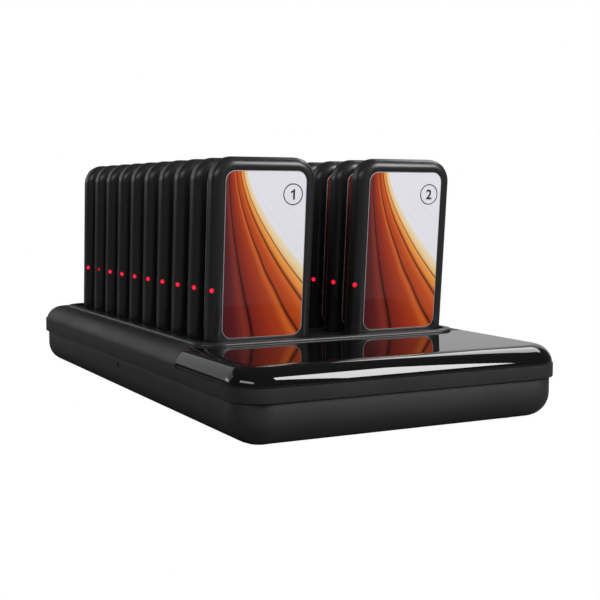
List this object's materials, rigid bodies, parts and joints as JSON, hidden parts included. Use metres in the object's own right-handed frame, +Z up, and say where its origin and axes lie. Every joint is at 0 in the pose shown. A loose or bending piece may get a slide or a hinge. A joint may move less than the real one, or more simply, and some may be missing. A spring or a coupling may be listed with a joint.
{
  "type": "guest pager charging set",
  "caption": "Low charging base with a gloss front panel and two rows of pockets, each holding a slim leaning pager with a picture label, a number and a red light.",
  "frame": {"origin": "middle of the base's footprint, on the surface it stands on", "axes": "+X to the base's right, +Y from the gloss front panel to the back, +Z up"},
  "size_m": [0.2006, 0.3694, 0.1474],
  "materials": {
    "base_plastic": "fine matte texture, charcoal black",
    "panel_gloss": "polished black",
    "tray_plastic": "satin black",
    "pager_plastic": "satin black",
    "pager_window": "clear polished",
    "label_print": "printed sheet with flowing bands and a number",
    "light_red": "clear red, lit",
    "circuit_board": "green solder mask",
    "chip_epoxy": "moulded epoxy",
    "plated_steel": "tin plated",
    "wire_cover": "soft cover",
    "foam": "closed-cell foam",
    "ribbon": "flat cable",
    "gold_contact": "gold plated",
    "inlet_plastic": "smooth black",
    "rocker_plastic": "smooth black",
    "screw_steel": "zinc plated",
    "foot_rubber": "soft black",
    "cell_foil": "foil pouch",
    "copper_coil": "wound wire"
  },
  "bodies": {
    "base": {"lower_shell": "base_plastic", "upper_shell": "base_plastic", "gloss_panel": "panel_gloss", "pocket_tray": "tray_plastic", "main_board": "circuit_board", "board_components": "chip_epoxy", "shield_can": "plated_steel", "base_buzzer": "chip_epoxy", "antenna_wire": "wire_cover", "touch_board": "circuit_board", "touch_foam": "foam", "display_module": "chip_epoxy", "front_ribbon": "ribbon", "left_charge_board": "circuit_board", "right_charge_board": "circuit_board", "left_charge_pins": "gold_contact", "right_charge_pins": "gold_contact", "power_board": "circuit_board", "power_leads": "wire_cover", "dc_inlet": "inlet_plastic", "switch_frame": "inlet_plastic", "base_screws": "screw_steel", "board_screws": "screw_steel", "rubber_feet": "foot_rubber"},
    "switch_rocker": {"switch_rocker": "rocker_plastic"},
    "pager_01": {"pager_01_front_shell": "pager_plastic", "pager_01_rear_cover": "pager_plastic", "pager_01_window": "pager_window", "pager_01_label": "label_print", "pager_01_light_guide": "light_red", "pager_01_charge_pads": "gold_contact", "pager_01_board": "circuit_board", "pager_01_battery": "cell_foil", "pager_01_motor": "plated_steel", "pager_01_buzzer": "chip_epoxy", "pager_01_antenna": "copper_coil", "pager_01_screws": "screw_steel"},
    "pager_01_motor_weight": {"pager_01_motor_weight": "screw_steel"},
    "pager_02": {"pager_02": "pager_plastic"},
    "pager_03": {"pager_03": "pager_plastic"},
    "pager_04": {"pager_04": "pager_plastic"},
    "pager_05": {"pager_05": "pager_plastic"},
    "pager_06": {"pager_06": "pager_plastic"},
    "pager_07": {"pager_07": "pager_plastic"},
    "pager_08": {"pager_08": "pager_plastic"},
    "pager_09": {"pager_09": "pager_plastic"},
    "pager_10": {"pager_10": "pager_plastic"},
    "pager_11": {"pager_11": "pager_plastic"},
    "pager_12": {"pager_12": "pager_plastic"},
    "pager_13": {"pager_13": "pager_plastic"},
    "pager_14": {"pager_14": "pager_plastic"},
    "pager_15": {"pager_15": "pager_plastic"},
    "pager_16": {"pager_16": "pager_plastic"},
    "pager_17": {"pager_17": "pager_plastic"},
    "pager_18": {"pager_18": "pager_plastic"},
    "pager_19": {"pager_19": "pager_plastic"},
    "pager_20": {"pager_20": "pager_plastic"}
  },
  "joints": [
    {"name": "pager_01_lift", "type": "slide", "parent": "base", "child": "pager_01", "axis": [0, -0.0837, 0.9965], "range_m": [0, 0.13]},
    {"name": "pager_02_lift", "type": "slide", "parent": "base", "child": "pager_02", "axis": [0, -0.0837, 0.9965], "range_m": [0, 0.13]},
    {"name": "pager_03_lift", "type": "slide", "parent": "base", "child": "pager_03", "axis": [0, -0.0837, 0.9965], "range_m": [0, 0.13]},
    {"name": "pager_04_lift", "type": "slide", "parent": "base", "child": "pager_04", "axis": [0, -0.0837, 0.9965], "range_m": [0, 0.13]},
    {"name": "pager_05_lift", "type": "slide", "parent": "base", "child": "pager_05", "axis": [0, -0.0837, 0.9965], "range_m": [0, 0.13]},
    {"name": "pager_06_lift", "type": "slide", "parent": "base", "child": "pager_06", "axis": [0, -0.0837, 0.9965], "range_m": [0, 0.13]},
    {"name": "pager_07_lift", "type": "slide", "parent": "base", "child": "pager_07", "axis": [0, -0.0837, 0.9965], "range_m": [0, 0.13]},
    {"name": "pager_08_lift", "type": "slide", "parent": "base", "child": "pager_08", "axis": [0, -0.0837, 0.9965], "range_m": [0, 0.13]},
    {"name": "pager_09_lift", "type": "slide", "parent": "base", "child": "pager_09", "axis": [0, -0.0837, 0.9965], "range_m": [0, 0.13]},
    {"name": "pager_10_lift", "type": "slide", "parent": "base", "child": "pager_10", "axis": [0, -0.0837, 0.9965], "range_m": [0, 0.13]},
    {"name": "pager_11_lift", "type": "slide", "parent": "base", "child": "pager_11", "axis": [0, -0.0837, 0.9965], "range_m": [0, 0.13]},
    {"name": "pager_12_lift", "type": "slide", "parent": "base", "child": "pager_12", "axis": [0, -0.0837, 0.9965], "range_m": [0, 0.13]},
    {"name": "pager_13_lift", "type": "slide", "parent": "base", "child": "pager_13", "axis": [0, -0.0837, 0.9965], "range_m": [0, 0.13]},
    {"name": "pager_14_lift", "type": "slide", "parent": "base", "child": "pager_14", "axis": [0, -0.0837, 0.9965], "range_m": [0, 0.13]},
    {"name": "pager_15_lift", "type": "slide", "parent": "base", "child": "pager_15", "axis": [0, -0.0837, 0.9965], "range_m": [0, 0.13]},
    {"name": "pager_16_lift", "type": "slide", "parent": "base", "child": "pager_16", "axis": [0, -0.0837, 0.9965], "range_m": [0, 0.13]},
    {"name": "pager_17_lift", "type": "slide", "parent": "base", "child": "pager_17", "axis": [0, -0.0837, 0.9965], "range_m": [0, 0.13]},
    {"name": "pager_18_lift", "type": "slide", "parent": "base", "child": "pager_18", "axis": [0, -0.0837, 0.9965], "range_m": [0, 0.13]},
    {"name": "pager_19_lift", "type": "slide", "parent": "base", "child": "pager_19", "axis": [0, -0.0837, 0.9965], "range_m": [0, 0.13]},
    {"name": "pager_20_lift", "type": "slide", "parent": "base", "child": "pager_20", "axis": [0, -0.0837, 0.9965], "range_m": [0, 0.13]},
    {"name": "motor_spin", "type": "hinge", "parent": "pager_01", "child": "pager_01_motor_weight", "pos_m": [-0.0456, -0.09631, 0.13204], "axis": [1, 0, 0], "continuous": true},
    {"name": "power_rocker", "type": "hinge", "parent": "base", "child": "switch_rocker", "pos_m": [0.034, 0.1817, 0.0192], "axis": [0, 0, 1], "range_deg": [0, 16]}
  ]
}
